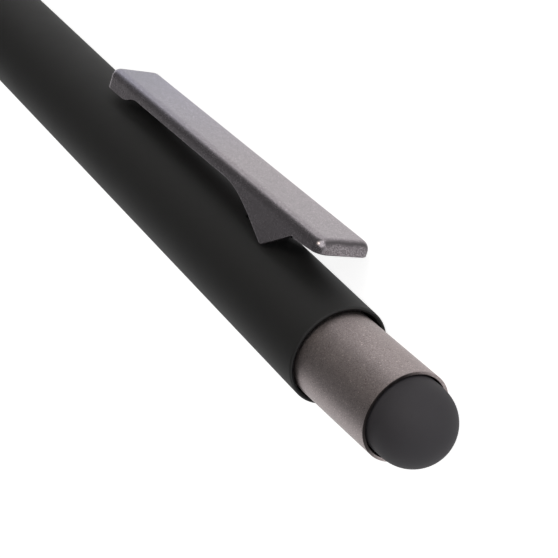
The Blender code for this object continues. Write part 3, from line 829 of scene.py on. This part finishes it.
def rubber_tip():
    """The rubber tip: a half ball on a short skirt, hollow below.

    Outside and inside, place = centre + radius * cos(angle) and radius * sin(angle) across, from
    the pole to the skirt.
    """
    angle = np.linspace(0, math.pi / 2, dome_points)[:, None]
    centre = lip_x + stylus_reach - dome_radius
    low = lip_x - dome_skirt
    bore = dome_radius - dome_wall
    outside = np.hstack([centre + dome_radius * np.cos(angle), dome_radius * np.sin(angle)])
    inside = np.hstack([centre + bore * np.cos(angle), bore * np.sin(angle)])[::-1]
    corners = [(*outside[-1], 0), (low, dome_radius, skirt_round)]
    corners += [(low, bore, skirt_bore_round), (*inside[0], 0)]
    profile = np.vstack([outside[:-1], rounded(corners, closed=False), inside[1:]])
    points, faces = turned(profile, closed=False, lean=button_lean())
    piece("rubber_dome", points, faces, finishes["stylus_rubber"], "button", "stylus_tip")


def lower_edge():
    """How deep the clip's walls reach under its plate, as a line of (distance from the root end, depth).

    The lip runs to a small nick, the fin goes down to a round foot and up a double curve to the
    shallow arm, and the toe goes down again to its round end.
    """
    foot = (clip_face - pivot_out - fin_setback * math.tan(clip_slope)) * math.cos(clip_slope)
    centre = (fin_setback, foot - fin_round)
    rise = math.atan2(centre[1] - notch_depth, centre[0] - notch_setback)
    turn = np.linspace(math.pi / 2 + rise, math.radians(foot_end_degrees), foot_points)
    fin = np.stack([centre[0] + fin_round * np.cos(turn), centre[1] + fin_round * np.sin(turn)], -1)
    leave = fin[-1]
    span = fin_length - leave[0]
    drop = leave[1] - arm_depth
    first = (leave[0] + fin_leave_shares[0] * span, leave[1] - fin_leave_shares[1] * drop)
    back = curve(leave, first, (leave[0] + fin_meet_share * span, arm_depth), (fin_length, arm_depth))
    ramp_end = clip_length - toe_length
    ramp_start = ramp_end - toe_ramp
    middle = (ramp_start + ramp_end) / 2
    ramp = curve((ramp_start, arm_depth), (middle, arm_depth), (middle, toe_depth), (ramp_end, toe_depth))
    turn = np.linspace(math.pi / 2, 0, toe_points)
    toe_end = clip_length - toe_round * (1 - np.cos(turn))
    toe = np.stack([toe_end, toe_depth - toe_round * (1 - np.sin(turn))], -1)
    nick_start = notch_setback - nick_length
    at_nick = clip_lip + (notch_depth - clip_lip) * nick_start / notch_setback
    lip = [(0, clip_lip), (nick_start, at_nick), (nick_start + nick_length / 2, at_nick - nick)]
    lip += [(notch_setback, notch_depth - nick / 2)]
    return np.vstack([lip, fin, back, ramp, toe])


def curve(start, first, second, end):
    """A cubic curve between two points, drawn towards two others."""
    t = np.linspace(0, 1, curve_points)[:, None]
    corners = [np.array(corner) for corner in (start, first, second, end)]
    weights = ((1 - t) ** 3, 3 * t * (1 - t) ** 2, 3 * t**2 * (1 - t), t**3)
    return sum(weight * corner for weight, corner in zip(weights, corners))


def clip_outline(inset):
    """The clip's plan drawn in by an inset, as places (distance from the root end, across).

    Each corner keeps its centre while its radius lasts, and past that it follows the diagonal.
    """
    side = clip_width / 2
    root = max(clip_root_corner - inset, small_radius)
    free = max(clip_free_corner - inset, small_radius)
    turn = np.radians(np.linspace(90, 0, corner_points))
    quarter = np.stack([np.cos(turn), np.sin(turn)], -1)
    end = np.array([clip_length - inset - free, side - inset - free]) + free * quarter
    start = np.array([inset + root, side - inset - root]) + root * quarter[::-1] * (-1, 1)
    run = np.linspace(start[-1, 0], end[0, 0], run_points)[1:-1]
    half = np.vstack([start, np.stack([run, np.full(len(run), side - inset)], -1), end])
    return np.vstack([half, half[::-1] * (1, -1)])


def clip():
    """The pressed clip: a flat plate whose edge bends down all round into walls of changing depth.

    One parameter runs round the plan. The other runs from the plate's middle line out to the bend,
    down the wall, round its lower edge and back inside: a place there is an inset from the
    outline, or a share of the way to the middle line, and a depth under the plate.
    """
    edge = lower_edge()
    outline = clip_outline(0)
    depth = np.interp(outline[:, 0], edge[:, 0], edge[:, 1])
    level = 0 * depth
    side = clip_width / 2
    middle = np.stack([np.clip(outline[:, 0], side, clip_length - side), level], -1)
    rim = clip_outline(clip_bend)
    top = clip_sheet + clip_inner_bend
    inner_rim = clip_outline(top)
    quarter = np.linspace(0, math.pi / 2, bend_points)
    turn = quarter[::3]
    inner = clip_sheet - clip_edge
    plate_shares = (0, 0.5, 0.8, 0.97)
    wall_shares = (0.05, 0.35, 0.65, 0.95)
    inner_wall_shares = (0.05, 0.5, 0.95)
    under_shares = (0.03, 0.5, 1)
    spots = [(middle + (rim - middle) * share, level) for share in plate_shares]
    for a in quarter:
        spots.append((clip_outline(clip_bend * (1 - math.sin(a))), level + clip_bend * (1 - math.cos(a))))
    for share in wall_shares:
        spots.append((outline, clip_bend + (depth - clip_edge - clip_bend) * share))
    for a in turn:
        spots.append((clip_outline(clip_edge * (1 - math.cos(a))), depth - clip_edge * (1 - math.sin(a))))
    for a in turn:
        spots.append((clip_outline(inner + clip_edge * math.sin(a)), depth - clip_edge * (1 - math.cos(a))))
    wall = clip_outline(clip_sheet)
    for share in inner_wall_shares:
        spots.append((wall, depth - clip_edge + (top - depth + clip_edge) * share))
    for a in quarter[::2]:
        drawn_in = clip_outline(top - clip_inner_bend * math.cos(a))
        spots.append((drawn_in, level + top - clip_inner_bend * math.sin(a)))
    for share in under_shares:
        spots.append((inner_rim + (middle - inner_rim) * share, level + clip_sheet))
    plan = np.stack([spot for spot, below in spots])
    below = np.stack([below for spot, below in spots])
    cos, sin = math.cos(clip_slope), math.sin(clip_slope)
    along = clip_root_x + below * sin - plan[..., 0] * cos
    out = clip_face - below * cos - plan[..., 0] * sin
    points = to_frame(along, out, plan[..., 1])
    faces = grid_faces(len(spots), len(outline), wrap_columns=True).reshape(-1, 4)
    piece("pressed_clip", points, faces, finishes["clip_gunmetal"], "clip", "clip")


def plate(outline, thickness, edge):
    """Points and faces of a flat outline of (along, out) given thickness across, its two edges rounded.

    The rounding's rings lie inside the outline by edge * (1 - cos(angle)), each point moved along
    the middle of its two sides' normals.
    """
    sides = np.roll(outline, -1, axis=0) - outline
    sides = sides / np.linalg.norm(sides, axis=1)[:, None]
    normals = np.stack([-sides[:, 1], sides[:, 0]], -1)
    middle = normals + np.roll(normals, 1, axis=0)
    middle = middle / np.linalg.norm(middle, axis=1)[:, None]
    area = np.sum(outline[:, 0] * np.roll(outline[:, 1], -1) - outline[:, 1] * np.roll(outline[:, 0], -1))
    inwards = middle * np.sign(area)
    angle = np.linspace(math.pi / 2, 0, edge_points)
    inset = np.concatenate([edge * (1 - np.cos(angle)), edge * (1 - np.cos(angle))[::-1]])
    height = thickness / 2 - edge * (1 - np.sin(angle))
    across = np.concatenate([-height, height[::-1]])
    rings = outline[None] + inwards[None] * inset[:, None, None]
    points = to_frame(rings[..., 0], rings[..., 1], across[:, None])
    count = len(outline)
    faces = grid_faces(len(across), count, wrap_columns=True).reshape(-1, 4).tolist()
    faces.append(list(range(count)))
    faces.append(list(range((len(across) - 1) * count, len(across) * count)))
    return points, faces


def under_plate(place):
    """How far out the plate's inner face lies at a place along the pen, less the seat's gap."""
    face = clip_face - (clip_root_x - place) * math.tan(clip_slope)
    return face - clip_sheet / math.cos(clip_slope) - seat_gap


def bracket():
    """The steel bracket under the clip: a flange, a neck through the slot and a hook inside."""
    high = neck_top_x + weld_flange
    neck = neck_top_x - neck_length
    low = neck - weld_flange
    hook = neck_top_x + hook_reach
    inner = bracket_inside - bracket_sheet
    small = bracket_round
    corners = [(high, under_plate(high), small), (low, under_plate(low), small)]
    corners += [(low, under_plate(low) - bracket_sheet, small)]
    corners += [(neck, under_plate(neck) - bracket_sheet, 2 * small)]
    corners += [(neck, inner, small), (hook, inner, small), (hook, bracket_inside, small)]
    corners += [(neck_top_x, bracket_inside, small)]
    corners += [(neck_top_x, under_plate(neck_top_x) - bracket_sheet, 2 * small)]
    corners += [(high, under_plate(high) - bracket_sheet, small)]
    points, faces = plate(rounded(corners), bracket_width, sheet_edge)
    piece("weld_bracket", points, faces, finishes["steel"], "clip", "clip_bracket")


def slot_plug():
    """The dark plug in the slot below the neck: its top is flat, with its long edges on the barrel's round.

    A foot inside the barrel holds it.
    """
    top = math.sqrt(barrel_radius**2 - (bracket_width / 2) ** 2)
    lock = slot_low_x + seat_gap
    high = lock + lock_length
    low = slot_low_x - lock_flange
    inner = bracket_inside - bracket_sheet
    small = plug_round
    corners = [(high, top, small), (lock, top, small), (lock, bracket_inside, small / 2)]
    corners += [(low, bracket_inside, small), (low, inner, small), (high, inner, small)]
    points, faces = plate(rounded(corners), bracket_width, sheet_edge)
    piece("slot_plug", points, faces, finishes["dark_plastic"], "barrel", "clip_lock")


def refill():
    """The refill's drawn tube with its crimped collar, its brass point and the ball in it."""
    bore = refill_radius - refill_wall
    point_top = tip_x + point_retreat + point_length
    low = point_top + seat_gap
    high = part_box("refill_tube")[1].x
    crimp = tip_x + point_retreat + crimp_height
    small = refill_round
    corners = [(low, bore, small), (low, refill_radius, small), (crimp, refill_radius, small / 2)]
    corners += [(crimp, crimp_radius, crimp_round), (crimp + crimp_length, crimp_radius, crimp_round)]
    corners += [(crimp + crimp_length, refill_radius, small / 2)]
    corners += [(high, refill_radius, small), (high, bore, small)]
    points, faces = turned(rounded(corners), small_turn_steps)
    piece("refill_pipe", points, faces, finishes["steel"], "refill", "refill_tube")

    ball_x = tip_x + point_retreat + ball_radius
    rim_x = tip_x + point_retreat + ball_show
    rim = math.sqrt(ball_radius**2 - (ball_radius - ball_show) ** 2) + ball_gap
    socket = ball_radius + ball_gap
    tail = bore - seat_gap
    tail_x = point_top + point_tail_length
    corners = [(tail_x, ink_channel, small / 2), (tail_x, tail, small), (point_top, tail, small / 2)]
    corners += [(point_top, point_radius, small)]
    corners += [(rim_x + point_cone_length, point_radius, point_cone_round)]
    corners += [(ball_x, socket + point_rim, socket_round)]
    corners += [(rim_x, rim + point_rim, socket_rim_round), (rim_x, rim, socket_rim_round)]
    corners += [(ball_x, socket, socket_round), (ball_x + socket, socket, socket_round)]
    corners += [(ball_x + socket, ink_channel, socket_rim_round)]
    points, faces = turned(rounded(corners), small_turn_steps)
    piece("brass_point", points, faces, finishes["brass"], "refill", "refill_point")

    angle = np.linspace(0, math.pi, ball_points)[:, None]
    ball = np.hstack([ball_x - ball_radius * np.cos(angle), ball_radius * np.sin(angle)])
    points, faces = turned(ball, ball_turn_steps, closed=False)
    piece("point_ball", points, faces, finishes["steel"], "ball", "writing_ball")


def spring():
    """The coil spring: a round wire whose centre turns at one radius and climbs with the turn.

    The first and the last turn climb by the wire and the closed gap, and the turns between share
    the rest. The wire's section lies in the plane of the radius and of the way that is square to
    both it and the wire.
    """
    low = tip_x + spring_floor + seat_gap + wire_radius
    high = tip_x + point_retreat + crimp_height - seat_gap - wire_radius
    close = 2 * wire_radius + closed_turn_gap
    pitch = (high - low - 2 * close) / (spring_turns - 2)
    turns = np.linspace(0, spring_turns, spring_turns * coil_steps + 1)
    ends = np.minimum(turns, 1) + np.maximum(turns - spring_turns + 1, 0)
    along = low + close * ends + pitch * (turns - ends)
    angle = math.tau * turns
    centre = np.stack([along, coil_radius * np.cos(angle), coil_radius * np.sin(angle)], -1)
    radial = np.stack([0 * angle, np.cos(angle), np.sin(angle)], -1)
    tangent = np.gradient(centre, axis=0)
    tangent = tangent / np.linalg.norm(tangent, axis=1)[:, None]
    square = np.cross(tangent, radial)
    turn = np.linspace(0, math.tau, wire_points, endpoint=False)
    size = np.full(len(turns), wire_radius)
    size[[0, -1]] = 0
    rows = centre[:, None] + size[:, None, None] * (
        np.cos(turn)[None, :, None] * radial[:, None] + np.sin(turn)[None, :, None] * square[:, None]
    )
    points = to_frame(rows[..., 0], rows[..., 1], rows[..., 2])
    faces = grid_faces(len(turns), len(turn), wrap_columns=True).reshape(-1, 4)
    made = piece("coil_spring", points, faces, finishes["steel"], "spring", "return_spring")
    push = joints["button_push"]
    fixed = push["deforming_nodes"][0]["fixed_end_x_m"]
    free = high + wire_radius - fixed
    keep = (free - push["range_m"][1]) / free
    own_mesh(made)


def floor_finish():
    """A pale floor that shows white to the eye and in reflections, and still takes the pen's shadow."""
    material = bpy.data.materials.new("studio_floor")
    material.use_nodes = True
    tree = material.node_tree
    tree.nodes.clear()
    floor = Nodes(tree)
    kinds = ("Camera", "Glossy", "Transmission")
    seen = [floor.node("ShaderNodeLightPath", output=f"Is {kind} Ray") for kind in kinds]
    strength = floor_glow * seen[0] + floor_glow_in_metal * (seen[1] + seen[2])
    glow = floor.node("ShaderNodeEmission", None, {"Strength": strength})
    matte = floor.node("ShaderNodeBsdfDiffuse", None, {"Color": floor_colour})
    both = floor.node("ShaderNodeAddShader", None, {0: matte, 1: glow})
    floor.node("ShaderNodeOutputMaterial", None, {"Surface": both}, output=None)
    return material


def floor():
    """A flat disc under the pen: its edge points lie at reach * cos(angle) and reach * sin(angle)."""
    angle = np.linspace(0, math.tau, small_turn_steps, endpoint=False)
    points = np.stack([floor_reach * np.cos(angle), floor_reach * np.sin(angle), 0 * angle], -1)
    mesh = bpy.data.meshes.new("studio_floor")
    mesh.from_pydata(points.tolist(), [], [list(range(len(points)))])
    mesh.materials.append(floor_finish())
    made = bpy.data.objects.new("studio_floor", mesh)
    bpy.context.scene.collection.objects.link(made)


def world():
    """A soft studio sky: bright above the horizon and dark overhead, white to the camera.

    On the clip's side it turns dark from lower down.
    """
    made = bpy.data.worlds.new("studio_sky")
    bpy.context.scene.world = made
    made.use_nodes = True
    sky = Nodes(made.node_tree)
    way = sky.node("ShaderNodeTexCoord", output="Generated")
    height = sky.node("ShaderNodeSeparateXYZ", None, {0: way}, "Z")
    side = sky.node("ShaderNodeSeparateXYZ", None, {0: way}, "Y")
    low = (height + sky_tilt * side).below(sky_edge, sky_soft)
    level = sky_dark + (1 - sky_dark) * low
    seen = sky.node("ShaderNodeLightPath", output="Is Camera Ray")
    back = made.node_tree.nodes["Background"]
    sky.join(back.inputs["Color"], (1, 1, 1))
    sky.join(back.inputs["Strength"], level + seen * (1 - level))


def lamp(name, way, distance, size, energy, colour=(1, 1, 1)):
    """A square soft box that faces the pen from a direction."""
    data = bpy.data.lights.new(name, "AREA")
    data.size = size
    data.energy = energy
    data.color = colour
    made = bpy.data.objects.new(name, data)
    direction = Vector(way).normalized()
    made.location = Vector(axis_point) + Vector((mouth_x / 2, 0, 0)) + direction * distance
    made.rotation_mode = "QUATERNION"
    made.rotation_quaternion = direction.to_track_quat("Z", "Y")
    bpy.context.scene.collection.objects.link(made)


def camera():
    """The photograph's camera, placed by the pen's own ways, its focal length in the picture's pixels."""
    data = bpy.data.cameras.new("photo_camera")
    data.sensor_width = sensor
    data.lens = camera_focus / photo_side * sensor
    data.clip_start = camera_near
    data.clip_end = camera_far
    made = bpy.data.objects.new("photo_camera", data)
    pen = Matrix(pen_ways.tolist()).transposed()
    look = Matrix((camera_right, camera_up, camera_right.cross(camera_up))).transposed()
    place = (pen @ look).to_4x4()
    place.translation = Vector((mouth_x, *axis_point[1:])) + pen @ camera_from_mouth
    made.matrix_world = place
    bpy.context.scene.collection.objects.link(made)
    bpy.context.scene.camera = made


dress_nodes()
barrel()
bush()
nose()
button()
rubber_tip()
clip()
bracket()
slot_plug()
refill()
spring()
floor()
world()
lamp("side_soft_box", **side_lamp)
lamp("small_soft_box", **warm_lamp)
camera()
bpy.context.scene.view_settings.view_transform = "Standard"
